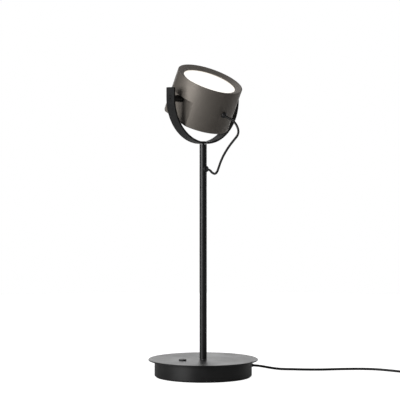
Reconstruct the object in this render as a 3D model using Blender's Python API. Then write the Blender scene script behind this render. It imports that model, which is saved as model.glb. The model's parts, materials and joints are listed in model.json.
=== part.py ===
"""Desk lamp: a round weighted base, a slim post that turns in it, and a spot head that tilts in a fork.

Metres, +Z up. The origin is the centre of the base's underside. The fork's pivot axis lies along X, and
the head leans towards -Y, the side on which its lead hangs.
"""

import math

import bmesh
import bpy
from mathutils import Vector

MM = 0.001
GAP = 0.3 * MM  # between pieces that touch

# ---- driving dimensions -------------------------------------------------------------------------------
PLATE_RADIUS = 90 * MM
PLATE_THICKNESS = 2 * MM
PLATE_TOP = 29 * MM
DRUM_RADIUS = 80 * MM
DRUM_WALL = 2 * MM
DRUM_FOOT = 1.5 * MM
POST_RADIUS = 6 * MM
POST_WALL = 1.25 * MM
PIVOT_HEIGHT = 455 * MM
FORK_INNER_RADIUS = 70 * MM
FORK_THICKNESS = 3 * MM
FORK_WIDTH = 18 * MM
FORK_ABOVE_PIVOT = 18 * MM
HEAD_RADIUS = 55 * MM
HEAD_WALL = 3 * MM
HEAD_FRONT = 37 * MM  # from the pivot to the lit end
HEAD_BACK = 36 * MM  # from the pivot to the rear end
HEAD_LEAN = math.radians(27.5)
FLAT_DISTANCE = 47.5 * MM  # from the head's axis to the flat that each spacer meets
LEDGE_DEPTH = 31 * MM  # from the lit end to where the flats begin
LENS_RADIUS = 43.8 * MM  # opening of the front ring
DISH_DEPTH = 4 * MM
LEAD_RADIUS = 2 * MM  # mains lead
HEAD_LEAD_RADIUS = 1.9 * MM
SWITCH_DISTANCE = 40 * MM  # from the post to the push button
BASE_TURN = math.radians(-10)  # the mains lead leaves the drum this way, and the button is opposite
LEAD_EXIT_HEIGHT = 14 * MM
LEAD_EXIT_PITCH = math.radians(8)  # the lead points down as it leaves
BUSH_HEIGHT = 341 * MM  # where the head's lead goes into the post

PLATE_UNDERSIDE = PLATE_TOP - PLATE_THICKNESS
FORK_OUTER_RADIUS = FORK_INNER_RADIUS + FORK_THICKNESS
FORK_UNDERSIDE = PIVOT_HEIGHT - FORK_OUTER_RADIUS
POST_BORE = POST_RADIUS - POST_WALL

COARSE, FINE = 20, 64  # facets of small and large turned pieces

for old in list(bpy.data.objects):
    bpy.data.objects.remove(old, do_unlink=True)


# ---- materials ----------------------------------------------------------------------------------------
def finish(name, colour, roughness, metallic=0.0):
    material = bpy.data.materials.new(name)
    material.use_nodes = True
    shader = material.node_tree.nodes["Principled BSDF"]
    shader.inputs["Base Color"].default_value = (*colour, 1)
    shader.inputs["Roughness"].default_value = roughness
    shader.inputs["Metallic"].default_value = metallic
    return material


BLACK_COAT = finish("black_powder_coat", (0.018, 0.018, 0.019), 0.5)
BRONZE = finish("satin_bronze_anodised", (0.20, 0.175, 0.155), 0.36, 0.9)
OPAL = finish("opal_diffuser", (0.95, 0.94, 0.90), 0.4)
WHITE_PLASTIC = finish("white_reflector_plastic", (0.85, 0.85, 0.83), 0.5)
BLACK_PLASTIC = finish("black_plastic", (0.02, 0.02, 0.021), 0.45)
GREY_PLASTIC = finish("grey_plastic", (0.35, 0.35, 0.36), 0.5)
RUBBER = finish("black_lead_rubber", (0.015, 0.015, 0.015), 0.6)
ALUMINIUM = finish("bare_aluminium", (0.75, 0.75, 0.76), 0.35, 1.0)
STEEL = finish("zinc_plated_steel", (0.62, 0.62, 0.63), 0.3, 1.0)
IRON = finish("cast_iron", (0.09, 0.09, 0.09), 0.7, 0.6)
BRASS = finish("plated_pin", (0.7, 0.68, 0.62), 0.25, 1.0)
BOARD = finish("circuit_board", (0.03, 0.16, 0.07), 0.5)
FELT = finish("foot_pad", (0.03, 0.03, 0.03), 0.9)


# ---- shapes -------------------------------------------------------------------------------------------
def new_object(name, bm, material, smooth=True):
    bmesh.ops.recalc_face_normals(bm, faces=bm.faces)
    mesh = bpy.data.meshes.new(name)
    bm.to_mesh(mesh)
    bm.free()
    mesh.materials.append(material)
    if smooth:
        mesh.shade_smooth()
        mesh.set_sharp_from_angle(angle=math.radians(35))
    obj = bpy.data.objects.new(name, mesh)
    bpy.context.scene.collection.objects.link(obj)
    return obj


def turned(name, outline, material, facets=COARSE, ring=False):
    """A turned piece about Z. The outline is (radius, height) pairs: closed for a ring, else axis to axis."""
    bm = bmesh.new()
    points = [bm.verts.new((radius, 0, height)) for radius, height in outline]
    edges = [bm.edges.new(pair) for pair in zip(points, points[1:])]
    if ring:
        edges.append(bm.edges.new((points[-1], points[0])))
    bmesh.ops.spin(
        bm, geom=points + edges, cent=(0, 0, 0), axis=(0, 0, 1), angle=2 * math.pi, steps=facets
    )
    bmesh.ops.remove_doubles(bm, verts=bm.verts, dist=1e-6)
    return new_object(name, bm, material)


def washer(name, inner, outer, low, high, material, facets=COARSE):
    corners = [(outer, high), (outer, low), (inner, low), (inner, high)]
    return turned(name, corners, material, facets, ring=True)


def disc(name, radius, low, high, material, facets=COARSE):
    return turned(name, [(0, high), (radius, high), (radius, low), (0, low)], material, facets)


def block(name, low, high, material):
    bm = bmesh.new()
    bmesh.ops.create_cube(bm, size=1)
    low, high = Vector(low), Vector(high)
    for vert in bm.verts:
        vert.co = (low + high) / 2 + vert.co * (high - low)
    return new_object(name, bm, material, smooth=False)


def prism(name, outline, low, high, material):
    """A flat outline of (x, y) pairs, extruded from one height to another."""
    bm = bmesh.new()
    face = bm.faces.new([bm.verts.new((x, y, low)) for x, y in outline])
    grown = bmesh.ops.extrude_face_region(bm, geom=[face])
    top = [part for part in grown["geom"] if isinstance(part, bmesh.types.BMVert)]
    bmesh.ops.translate(bm, verts=top, vec=(0, 0, high - low))
    return new_object(name, bm, material, smooth=False)


def tube_along(name, points, radius, material):
    curve = bpy.data.curves.new(name, "CURVE")
    curve.dimensions = "3D"
    curve.bevel_depth = radius
    curve.bevel_resolution = 2
    curve.use_fill_caps = True
    spline = curve.splines.new("POLY")
    spline.points.add(len(points) - 1)
    for knot, point in zip(spline.points, points):
        knot.co = (*point, 1)
    obj = bpy.data.objects.new(name, curve)
    bpy.context.scene.collection.objects.link(obj)
    curve.materials.append(material)
    return obj


def boolean(obj, tool, operation="DIFFERENCE"):
    tool.hide_render = True
    tool.display_type = "WIRE"
    change = obj.modifiers.new(operation.title(), "BOOLEAN")
    change.operation = operation
    change.solver = "EXACT"
    change.object = tool


def placed(obj, parent=None, at=(0, 0, 0), turn=(0, 0, 0)):
    obj.parent = parent
    obj.location = at
    obj.rotation_euler = turn
    return obj


def empty(name, at, turn=(0, 0, 0), parent=None):
    obj = bpy.data.objects.new(name, None)
    bpy.context.scene.collection.objects.link(obj)
    return placed(obj, parent, at, turn)


def spots(circle, turns):
    """Places on a circle about Z, for turns in degrees."""
    turns = [math.radians(turn) for turn in turns]
    return [(circle * math.cos(turn), circle * math.sin(turn), 0) for turn in turns]


def smooth_route(knots, spacing):
    """Points read at an even spacing from a smooth curve through the knots."""
    knots = [Vector(knot) for knot in knots]
    ends = [2 * knots[0] - knots[1], *knots, 2 * knots[-1] - knots[-2]]
    dense = []
    for a, b, c, d in zip(ends, ends[1:], ends[2:], ends[3:]):
        for step in range(24):
            t = step / 24
            bend = (2 * a - 5 * b + 4 * c - d) * t**2
            twist = (3 * b - a - 3 * c + d) * t**3
            dense.append(0.5 * (2 * b + (c - a) * t + bend + twist))
    dense.append(knots[-1])
    total = sum((q - p).length for p, q in zip(dense, dense[1:]))
    count = max(2, round(total / spacing))
    route, walked, index = [dense[0]], 0.0, 0
    for number in range(1, count):
        wanted = total * number / count
        while walked + (dense[index + 1] - dense[index]).length < wanted:
            walked += (dense[index + 1] - dense[index]).length
            index += 1
        stretch = dense[index + 1] - dense[index]
        route.append(dense[index] + stretch * ((wanted - walked) / stretch.length))
    return [*route, dense[-1]]


# ---- base ---------------------------------------------------------------------------------------------
base = empty("base_frame", (0, 0, 0), (0, 0, BASE_TURN))
switch_frame = empty("switch_frame", (-SWITCH_DISTANCE, 0, 0), parent=base)
exit_frame = empty(
    "lead_exit_frame", (DRUM_RADIUS, 0, LEAD_EXIT_HEIGHT), (0, math.pi / 2 + LEAD_EXIT_PITCH, 0), base
)

SWIVEL_BORE = 6.8 * MM
BUTTON_RADIUS = 6.2 * MM
BUTTON_CLEARANCE = 0.4 * MM
EDGE = 0.4 * MM


def base_plate():
    plate = turned(
        "base_plate",
        [
            (SWIVEL_BORE, PLATE_TOP),
            (PLATE_RADIUS - EDGE, PLATE_TOP),
            (PLATE_RADIUS, PLATE_TOP - EDGE),
            (PLATE_RADIUS, PLATE_UNDERSIDE + EDGE),
            (PLATE_RADIUS - EDGE, PLATE_UNDERSIDE),
            (SWIVEL_BORE, PLATE_UNDERSIDE),
        ],
        BLACK_COAT,
        FINE,
        ring=True,
    )
    placed(plate, base)
    hole = disc("button_hole", BUTTON_RADIUS + BUTTON_CLEARANCE, 0, 2 * PLATE_TOP, BLACK_COAT)
    boolean(plate, placed(hole, switch_frame))


DRUM_TOP = PLATE_UNDERSIDE - GAP
DRUM_LIP = 10 * MM  # width of the rim that the plate rests on
RIM_THICKNESS = 2 * MM
RELIEF_HOLE = 4.7 * MM
BOSS_CIRCLE, BOSS_RADIUS = 68 * MM, 4 * MM
COVER_SCREW_SPOTS = spots(BOSS_CIRCLE, (60, 180, 300))


def drum():
    inside = DRUM_RADIUS - DRUM_WALL
    shell = turned(
        "drum",
        [
            (DRUM_RADIUS - DRUM_LIP, DRUM_TOP),
            (DRUM_RADIUS, DRUM_TOP),
            (DRUM_RADIUS, DRUM_FOOT + 1 * MM),
            (DRUM_RADIUS - 1 * MM, DRUM_FOOT),
            (inside, DRUM_FOOT),
            (inside, DRUM_TOP - RIM_THICKNESS),
            (DRUM_RADIUS - DRUM_LIP, DRUM_TOP - RIM_THICKNESS),
        ],
        BLACK_COAT,
        FINE,
        ring=True,
    )
    placed(shell, base)
    hole = disc("lead_hole", RELIEF_HOLE, -12 * MM, 12 * MM, BLACK_COAT)
    boolean(shell, placed(hole, exit_frame))
    for number, spot in enumerate(COVER_SCREW_SPOTS):
        boss = disc(f"boss_{number + 1}", BOSS_RADIUS, COVER_HIGH + GAP, DRUM_TOP - 1 * MM, BLACK_COAT, 16)
        boolean(shell, placed(boss, base, spot), "UNION")
        bore = disc(f"boss_bore_{number + 1}", SCREW_HOLE, 0, 14 * MM, BLACK_COAT, 12)
        boolean(shell, placed(bore, base, spot))


COVER_RADIUS = DRUM_RADIUS - DRUM_WALL - GAP
COVER_LOW, COVER_HIGH = 1.5 * MM, 3 * MM
SCREW_HOLE, SCREW_SHANK = 1.8 * MM, 1.4 * MM


def bottom_cover():
    cover = placed(disc("bottom_cover", COVER_RADIUS, COVER_LOW, COVER_HIGH, BLACK_COAT, FINE), base)
    for number, spot in enumerate(COVER_SCREW_SPOTS):
        hole = disc(f"cover_hole_{number + 1}", SCREW_HOLE, 0, 5 * MM, BLACK_COAT, 12)
        boolean(cover, placed(hole, base, spot))
        head_low, head_high, tip = 0.4 * MM, COVER_LOW - GAP, 10 * MM
        screw = turned(
            f"cover_screw_{number + 1}",
            [
                (0, tip),
                (SCREW_SHANK, tip),
                (SCREW_SHANK, head_high),
                (2.8 * MM, head_high),
                (2.8 * MM, head_low),
                (0, head_low),
            ],
            STEEL,
        )
        placed(screw, base, spot)


PAD_RADIUS, PAD_WIDTH = 78 * MM, 4.5 * MM


def foot_ring():
    ring = washer("foot_ring", PAD_RADIUS - PAD_WIDTH, PAD_RADIUS, 0, COVER_LOW - GAP, FELT, FINE)
    placed(ring, base)


BALLAST_RADIUS = 62 * MM
BALLAST_LOW, BALLAST_HIGH = COVER_HIGH + GAP, 13 * MM


def ballast():
    weight = placed(disc("ballast", BALLAST_RADIUS, BALLAST_LOW, BALLAST_HIGH, IRON, 48), base)
    boolean(weight, placed(disc("ballast_bore", 12 * MM, 0, 20 * MM, IRON), base))
    pocket = block("driver_pocket", (-60 * MM, 16 * MM, 0), (60 * MM, 70 * MM, 20 * MM), IRON)
    boolean(weight, placed(pocket, base))
    pocket = block("switch_pocket", (-52 * MM, -12 * MM, 0), (-28 * MM, 20 * MM, 20 * MM), IRON)
    boolean(weight, placed(pocket, base))


TRAY = Vector((72, 34, 18)) * MM  # outside of the driver's tray
TRAY_CORNER = Vector((-36, 20, 3.5)) * MM
TRAY_WALL = 1.5 * MM
BOARD_HEIGHT, BOARD_THICKNESS = 4 * MM, 1.6 * MM


def driver():
    low, high = TRAY_CORNER, TRAY_CORNER + TRAY
    wall = Vector((TRAY_WALL, TRAY_WALL, TRAY_WALL))
    tray = placed(block("driver_tray", low, high, WHITE_PLASTIC), base)
    room = block("tray_room", low + wall, high - wall + Vector((0, 0, 10 * MM)), WHITE_PLASTIC)
    boolean(tray, placed(room, base))
    lid_low, lid_high = high.z + GAP, high.z + 1.8 * MM
    lid = block("driver_lid", (low.x, low.y, lid_low), (high.x, high.y, lid_high), WHITE_PLASTIC)
    placed(lid, base)
    inner_low, inner_high = low + wall * 1.4, high - wall * 1.4
    inner_low.z, inner_high.z = low.z + BOARD_HEIGHT, low.z + BOARD_HEIGHT + BOARD_THICKNESS
    placed(block("driver_board", inner_low, inner_high, BOARD), base)
    parts = (
        ("driver_transformer", (-8, 24, 0), (10, 46, 10), IRON),
        ("driver_capacitor", (-28, 26, 0), (-16, 38, 9), BLACK_PLASTIC),
        ("driver_terminal", (18, 26, 0), (30, 44, 8), GREY_PLASTIC),
    )
    for name, corner, far, material in parts:
        lift = Vector((0, 0, inner_high.z + GAP))
        placed(block(name, Vector(corner) * MM + lift, Vector(far) * MM + lift, material), base)


WELL_FLOOR = 12 * MM
BUTTON_REST = 31.2 * MM
BUTTON_TRAVEL = 1.5 * MM


def switch():
    body = turned(
        "switch_body",
        [
            (0, WELL_FLOOR),
            (7 * MM, WELL_FLOOR),
            (7 * MM, PLATE_UNDERSIDE - GAP),
            (9 * MM, PLATE_UNDERSIDE - GAP),
            (9 * MM, 5 * MM),
            (0, 5 * MM),
        ],
        BLACK_PLASTIC,
        24,
    )
    placed(body, switch_frame)
    skirt, stem_end = 23 * MM, WELL_FLOOR + BUTTON_TRAVEL + 1.5 * MM
    button = turned(
        "switch_button",
        [
            (0, BUTTON_REST),
            (3.5 * MM, BUTTON_REST - 0.15 * MM),
            (5.4 * MM, BUTTON_REST - 0.5 * MM),
            (BUTTON_RADIUS, BUTTON_REST - 1.2 * MM),
            (BUTTON_RADIUS, skirt),
            (2 * MM, skirt),
            (2 * MM, stem_end),
            (0, stem_end),
        ],
        BLACK_PLASTIC,
        24,
    )
    placed(button, switch_frame)
    turns, wire, coil = 6, 0.4 * MM, 4 * MM
    low, high = WELL_FLOOR + GAP + wire, skirt - GAP - wire
    steps = 10 * turns
    helix = [
        (
            coil * math.cos(2 * math.pi * turns * step / steps),
            coil * math.sin(2 * math.pi * turns * step / steps),
            low + (high - low) * step / steps,
        )
        for step in range(steps + 1)
    ]
    spring = tube_along("switch_spring", helix, wire, STEEL)
    spring.data.bevel_resolution = 0
    placed(spring, switch_frame)


RELIEF_LENGTH = 20 * MM  # outside the drum


def strain_relief():
    start = 1.3 * MM
    sleeve = turned(
        "mains_strain_relief",
        [
            (0, RELIEF_LENGTH),
            (2.9 * MM, RELIEF_LENGTH),
            (4 * MM, start + 3 * MM),
            (5.6 * MM, start + 2.6 * MM),
            (5.6 * MM, start),
            (RELIEF_HOLE - GAP, start),
            (RELIEF_HOLE - GAP, -3.5 * MM),
            (6 * MM, -3.5 * MM),
            (6 * MM, -5 * MM),
            (0, -5 * MM),
        ],
        RUBBER,
    )
    placed(sleeve, exit_frame)


def lead_anchor():
    """The saddle that clamps the lead inside the drum."""
    saddle = block("lead_anchor", (64 * MM, -7 * MM, 3.5 * MM), (69 * MM, 7 * MM, 22 * MM), BLACK_PLASTIC)
    placed(saddle, base)


# ---- mains lead ---------------------------------------------------------------------------------------
LIE = LEAD_RADIUS + 0.1 * MM  # height of the lead's centre where it lies
LEAD_ROUTE = (
    (0.0992, -0.0176, 0.0111),
    (0.1117, -0.0200, 0.0092),
    (0.1213, -0.0229, 0.0072),
    (0.1301, -0.0267, 0.0052),
    (0.1382, -0.0313, 0.0036),
    (0.1457, -0.0364, 0.0026),
    (0.1537, -0.0425, LIE),
    (0.1610, -0.0508, LIE),
    (0.1673, -0.0601, LIE),
    (0.1779, -0.0722, LIE),
    (0.1901, -0.0841, LIE),
    (0.2044, -0.0937, LIE),
    (0.2191, -0.1029, LIE),
    (0.2329, -0.1130, LIE),
    (0.2458, -0.1241, LIE),
    (0.2562, -0.1364, LIE),
    (0.2630, -0.1496, LIE),
    (0.2666, -0.1647, LIE),
    (0.2690, -0.1809, LIE),
    (0.2704, -0.1940, LIE),
    (0.2717, -0.2041, LIE),
)
COIL_CENTRE = (0.3049, -0.2176, 0)
COIL_INNER, COIL_OUTER = 13.5 * MM, 33.5 * MM
COIL_HEIGHT = 8 * MM
COIL_ROUND = 1.4 * MM
TAIL_ROUTE = (
    (0.3397, -0.2266, 0.0064),
    (0.3436, -0.2225, 0.0067),
    (0.3474, -0.2184, 0.0070),
    (0.3509, -0.2147, 0.0072),
)
PLUG_REAR = (0.3511, -0.2144, 0.0072)
PLUG_AIM = math.radians(46.7)


def mains_lead():
    tube_along("mains_lead", smooth_route(LEAD_ROUTE, 10 * MM), LEAD_RADIUS, RUBBER)
    tube_along("mains_lead_tail", smooth_route(TAIL_ROUTE, 5 * MM), LEAD_RADIUS, RUBBER)


def lead_coil():
    """The wound length of the lead: two layers of turns, one on the other."""
    low, high = LIE - LEAD_RADIUS, LIE - LEAD_RADIUS + COIL_HEIGHT
    outline = [
        (COIL_INNER, high - COIL_ROUND),
        (COIL_INNER + COIL_ROUND, high),
        (COIL_OUTER - COIL_ROUND, high),
        (COIL_OUTER, high - COIL_ROUND),
        (COIL_OUTER, low + COIL_ROUND),
        (COIL_OUTER - COIL_ROUND, low),
        (COIL_INNER + COIL_ROUND, low),
        (COIL_INNER, low + COIL_ROUND),
    ]
    placed(turned("lead_coil", outline, RUBBER, 32, ring=True), None, COIL_CENTRE)


PLUG_RELIEF = 14 * MM
PLUG_LENGTH = 34 * MM
PIN_LENGTH, PIN_RADIUS, PIN_SPREAD = 19 * MM, 2 * MM, 18.6 * MM


def plug():
    """A flat two-pin plug lying on its side face, with its pins pointing away from the lead."""
    frame = empty("plug_frame", PLUG_REAR, (0, 0, PLUG_AIM))
    relief = turned(
        "plug_relief",
        [(0, PLUG_RELIEF), (3.8 * MM, PLUG_RELIEF), (2.9 * MM, 0), (0, 0)],
        RUBBER,
    )
    placed(relief, frame, turn=(0, math.pi / 2, 0))
    rear, front = PLUG_RELIEF + GAP, PLUG_RELIEF + GAP + PLUG_LENGTH
    half_rear, half_front, shoulder = 6.5 * MM, 13 * MM, 12 * MM
    outline = [
        (rear, half_rear),
        (rear, -half_rear),
        (rear + shoulder, -half_front),
        (front - 2 * MM, -half_front),
        (front, -half_front + 2 * MM),
        (front, half_front - 2 * MM),
        (front - 2 * MM, half_front),
        (rear + shoulder, half_front),
    ]
    body = prism("plug_body", outline, -6.9 * MM, 6.9 * MM, BLACK_PLASTIC)
    placed(body, frame)
    for side, name in ((1, "plug_pin_left"), (-1, "plug_pin_right")):
        low, high = front + GAP, front + GAP + PIN_LENGTH
        pin = turned(
            name,
            [(0, high), (1.2 * MM, high), (PIN_RADIUS, high - 1 * MM), (PIN_RADIUS, low), (0, low)],
            BRASS,
            12,
        )
        placed(pin, frame, (0, side * PIN_SPREAD / 2, 0), (0, math.pi / 2, 0))


# ---- swivel, post and fork ----------------------------------------------------------------------------
STUD_RADIUS, STUD_BORE = 4.4 * MM, 2.5 * MM
STUD_LOW, STUD_HIGH = 16 * MM, 60 * MM
STOP_CIRCLE = 12 * MM


def swivel():
    bush = turned(
        "swivel_bush",
        [
            (STUD_RADIUS + GAP, PLATE_TOP),
            (SWIVEL_BORE - GAP, PLATE_TOP),
            (SWIVEL_BORE - GAP, PLATE_UNDERSIDE - GAP),
            (9.5 * MM, PLATE_UNDERSIDE - GAP),
            (9.5 * MM, 25.2 * MM),
            (STUD_RADIUS + GAP, 25.2 * MM),
        ],
        GREY_PLASTIC,
        24,
        ring=True,
    )
    placed(bush)
    placed(washer("swivel_stud", STUD_BORE, STUD_RADIUS, STUD_LOW, STUD_HIGH, STEEL, 24))
    ring = placed(washer("stop_washer", STUD_RADIUS + GAP, 9 * MM, 23.4 * MM, 24.9 * MM, STEEL, 24))
    tab = block("stop_tab", (-2 * MM, 7.5 * MM, 23.4 * MM), (2 * MM, 14 * MM, 24.9 * MM), STEEL)
    boolean(ring, tab, "UNION")
    pin = disc("stop_pin", 1.5 * MM, 20 * MM, PLATE_UNDERSIDE - GAP, STEEL, 16)
    placed(pin, at=(0, -STOP_CIRCLE, 0))
    placed(washer("swivel_nut", 5.4 * MM, 8.5 * MM, 17 * MM, 23.1 * MM, STEEL, 6))


def post():
    low, high = PLATE_TOP + GAP, FORK_UNDERSIDE - GAP
    tube = placed(washer("post", POST_BORE, POST_RADIUS, low, high, BLACK_COAT, 48))
    hole = disc("bush_hole", 2.9 * MM, 3 * MM, 9 * MM, BLACK_COAT)
    boolean(tube, placed(hole, at=(0, 0, BUSH_HEIGHT), turn=(math.pi / 2, 0, 0)))
    plug = turned(
        "post_plug",
        [
            (2 * MM, high),
            (POST_BORE - GAP, high),
            (POST_BORE - GAP, high - 22 * MM),
            (0, high - 22 * MM),
            (0, high - 14 * MM),
            (2 * MM, high - 14 * MM),
        ],
        STEEL,
        ring=True,
    )
    placed(plug)
    bush = turned(
        "post_bush",
        [
            (0, 9 * MM),
            (2.6 * MM, 9 * MM),
            (3.4 * MM, 8.4 * MM),
            (4.8 * MM, 8.2 * MM),
            (5.2 * MM, 7.8 * MM),
            (5.2 * MM, POST_RADIUS + GAP),
            (2.6 * MM, POST_RADIUS + GAP),
            (2.6 * MM, 3.2 * MM),
            (0, 3.2 * MM),
        ],
        BLACK_PLASTIC,
        24,
    )
    placed(bush, at=(0, 0, BUSH_HEIGHT), turn=(math.pi / 2, 0, 0))
    inner_route = (
        (0, -2.3 * MM, BUSH_HEIGHT),
        (0, -1.4 * MM, BUSH_HEIGHT - 0.4 * MM),
        (0, -0.4 * MM, BUSH_HEIGHT - 3 * MM),
        (0, 0, BUSH_HEIGHT - 9 * MM),
        (0, 0, BUSH_HEIGHT / 2),
        (0, 0, STUD_LOW + 1 * MM),
    )
    tube_along("inner_lead", smooth_route(inner_route, 6 * MM), 1.3 * MM, RUBBER)


COUNTERSINK, SCREW_CLEARANCE = 4.7 * MM, 2.8 * MM
ARC_STATIONS, ARM_CORNER = 48, 3 * MM
SIDES = ((1, "right"), (-1, "left"))


def side_frame(side, name, parent=None):
    """Heights in this frame run outwards along the tilt axis, from midway between the fork's arms."""
    at = (0, 0, 0) if parent else (0, 0, PIVOT_HEIGHT)
    return empty(f"{name}_frame", at, (0, side * math.pi / 2, 0), parent)


def fork():
    """A flat strip bent to a half circle about the pivot axis, with straight arms above it."""
    turns = [math.pi * step / ARC_STATIONS for step in range(ARC_STATIONS + 1)]
    spine = [(-1, 0, FORK_ABOVE_PIVOT)]
    spine += [(-math.cos(turn), -math.sin(turn), 0) for turn in turns]
    spine += [(1, 0, FORK_ABOVE_PIVOT)]
    bm = bmesh.new()
    rows = []
    inner, outer, edge = FORK_INNER_RADIUS, FORK_OUTER_RADIUS, FORK_WIDTH / 2
    for across, up, lift in spine:
        corners = []
        for radius, side in ((inner, -edge), (outer, -edge), (outer, edge), (inner, edge)):
            place = (across * radius, side, PIVOT_HEIGHT + up * radius + lift)
            corners.append(bm.verts.new(place))
        rows.append(corners)
    for low, high in zip(rows, rows[1:]):
        for index in range(4):
            after = (index + 1) % 4
            bm.faces.new((low[index], low[after], high[after], high[index]))
    for end in (rows[0], rows[-1]):
        cap = bm.faces.new(end)
        ends = [edge for edge in cap.edges if abs(edge.verts[0].co.x - edge.verts[1].co.x) > 1 * MM]
        bmesh.ops.bevel(bm, geom=ends, offset=ARM_CORNER, segments=4, affect="EDGES", profile=0.5)
    strip = new_object("fork", bm, BLACK_COAT)
    for side, name in SIDES:
        hole = turned(
            f"{name}_arm_hole",
            [
                (0, FORK_OUTER_RADIUS + 2 * MM),
                (COUNTERSINK, FORK_OUTER_RADIUS + 2 * MM),
                (COUNTERSINK, FORK_OUTER_RADIUS),
                (SCREW_CLEARANCE, FORK_OUTER_RADIUS - 1.9 * MM),
                (SCREW_CLEARANCE, FORK_INNER_RADIUS - 2 * MM),
                (0, FORK_INNER_RADIUS - 2 * MM),
            ],
            BLACK_COAT,
        )
        boolean(strip, placed(hole, side_frame(side, f"{name}_arm")))
    hole = disc("fork_screw_hole", 2.2 * MM, FORK_UNDERSIDE - 5 * MM, FORK_UNDERSIDE + 9 * MM, BLACK_COAT)
    boolean(strip, hole)
    seat = FORK_UNDERSIDE + FORK_THICKNESS + GAP
    screw = turned(
        "fork_screw",
        [
            (0, seat + 2.4 * MM),
            (2.6 * MM, seat + 2.2 * MM),
            (4.4 * MM, seat + 1.2 * MM),
            (4.5 * MM, seat),
            (1.7 * MM, seat),
            (1.7 * MM, seat - 12 * MM),
            (0, seat - 12 * MM),
        ],
        STEEL,
    )
    placed(screw)


SPACER_RADIUS = 5.4 * MM
WASHER_THICKNESS = 0.8 * MM


def pivots():
    """Each side's countersunk screw and spacer, which stay with the fork."""
    for side, name in SIDES:
        frame = side_frame(side, f"{name}_pivot")
        flush = FORK_OUTER_RADIUS - 0.2 * MM
        screw = turned(
            f"pivot_screw_{name}",
            [
                (0, flush),
                (COUNTERSINK - 0.5 * MM, flush),
                (SCREW_CLEARANCE - 0.4 * MM, flush - 1.9 * MM),
                (SCREW_CLEARANCE - 0.4 * MM, 39 * MM),
                (0, 39 * MM),
            ],
            BLACK_COAT,
        )
        placed(screw, frame)
        near = FLAT_DISTANCE + WASHER_THICKNESS + 2 * GAP
        far = FORK_INNER_RADIUS - GAP
        spacer = washer(f"spacer_{name}", SCREW_CLEARANCE, SPACER_RADIUS, near, far, BLACK_COAT, 32)
        placed(spacer, frame)


HEAD_LEAD_ROUTE = (
    (0, -0.0522, 0.4267),
    (0, -0.0566, 0.4246),
    (0, -0.0655, 0.4212),
    (0, -0.0732, 0.4165),
    (0, -0.0793, 0.4098),
    (0, -0.0822, 0.4025),
    (0, -0.0803, 0.3957),
    (0, -0.0730, 0.3888),
    (0, -0.0632, 0.3801),
    (0, -0.0543, 0.3708),
    (0, -0.0470, 0.3617),
    (0, -0.0412, 0.3526),
    (0, -0.0368, 0.3438),
    (0, -0.0326, 0.3363),
    (0, -0.0275, 0.3334),
    (0, -0.0215, 0.3351),
    (0, -0.0160, 0.3389),
    (0, -0.0098, 0.3410),
)


def head_lead():
    tube_along("head_lead", smooth_route(HEAD_LEAD_ROUTE, 4.5 * MM), HEAD_LEAD_RADIUS, RUBBER)


# ---- head: local +Z points out of the lit end, and local -Y out of the lead's gland -------------------
head_frame = empty("head_frame", (0, 0, PIVOT_HEIGHT), (HEAD_LEAN, 0, 0))
gland_frame = empty("gland_frame", (0, 0, -1 * MM), (math.pi / 2, 0, 0), head_frame)
FLAT_START = HEAD_FRONT - LEDGE_DEPTH
BORE = HEAD_RADIUS - HEAD_WALL
RING_SEAT = HEAD_RADIUS - 1 * MM
RING_BACK = HEAD_FRONT - 6 * MM
COVER_SEAT = 45.6 * MM
REAR_OPENING = 36 * MM
GLAND_BARREL = 3.6 * MM
REAR_SCREW_CIRCLE = 40.5 * MM
REAR_SCREW_SPOTS = spots(REAR_SCREW_CIRCLE, (30, 150, 270))


def flatten(obj, name, distance, top):
    """Cuts the same flat from both sides of a turned piece."""
    for side, where in SIDES:
        near, far = sorted((side * distance, side * 70 * MM))
        tool = block(f"{name}_{where}", (near, -70 * MM, -50 * MM), (far, 70 * MM, top), BRONZE)
        boolean(obj, placed(tool, head_frame))


def head_shell():
    edge = 0.6 * MM
    shell = turned(
        "head_shell",
        [
            (0, HEAD_FRONT),
            (HEAD_RADIUS - edge / 2, HEAD_FRONT),
            (HEAD_RADIUS, HEAD_FRONT - edge / 2),
            (HEAD_RADIUS, edge - HEAD_BACK),
            (HEAD_RADIUS - edge, -HEAD_BACK),
            (0, -HEAD_BACK),
        ],
        BRONZE,
        FINE,
    )
    placed(shell, head_frame)
    flatten(shell, "side_flat", FLAT_DISTANCE, FLAT_START)
    cavity = turned(
        "head_cavity",
        [
            (0, HEAD_FRONT + 3 * MM),
            (RING_SEAT, HEAD_FRONT + 3 * MM),
            (RING_SEAT, RING_BACK),
            (BORE, RING_BACK),
            (BORE, HEAD_WALL - HEAD_BACK),
            (0, HEAD_WALL - HEAD_BACK),
        ],
        BRONZE,
        FINE,
    )
    flatten(cavity, "cavity_flat", FLAT_DISTANCE - HEAD_WALL, FLAT_START + HEAD_WALL)
    boolean(shell, placed(cavity, head_frame))
    rear = turned(
        "rear_opening",
        [
            (0, 2 * HEAD_WALL - HEAD_BACK),
            (REAR_OPENING, 2 * HEAD_WALL - HEAD_BACK),
            (REAR_OPENING, 1.8 * MM - HEAD_BACK),
            (COVER_SEAT, 1.8 * MM - HEAD_BACK),
            (COVER_SEAT, -HEAD_BACK - 2 * MM),
            (0, -HEAD_BACK - 2 * MM),
        ],
        BRONZE,
        48,
    )
    boolean(shell, placed(rear, head_frame))
    for side, name in SIDES:
        hole = disc(f"{name}_pivot_hole", SCREW_CLEARANCE, 40 * MM, 60 * MM, BRONZE)
        boolean(shell, placed(hole, side_frame(side, f"{name}_wall", head_frame)))
    hole = disc("gland_hole", GLAND_BARREL + GAP, 45 * MM, 60 * MM, BRONZE)
    boolean(shell, placed(hole, gland_frame))
    for number, spot in enumerate(REAR_SCREW_SPOTS):
        hole = disc(f"rear_hole_{number + 1}", 1.7 * MM, -40 * MM, -30 * MM, BRONZE, 12)
        boolean(shell, placed(hole, head_frame, spot))


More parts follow.
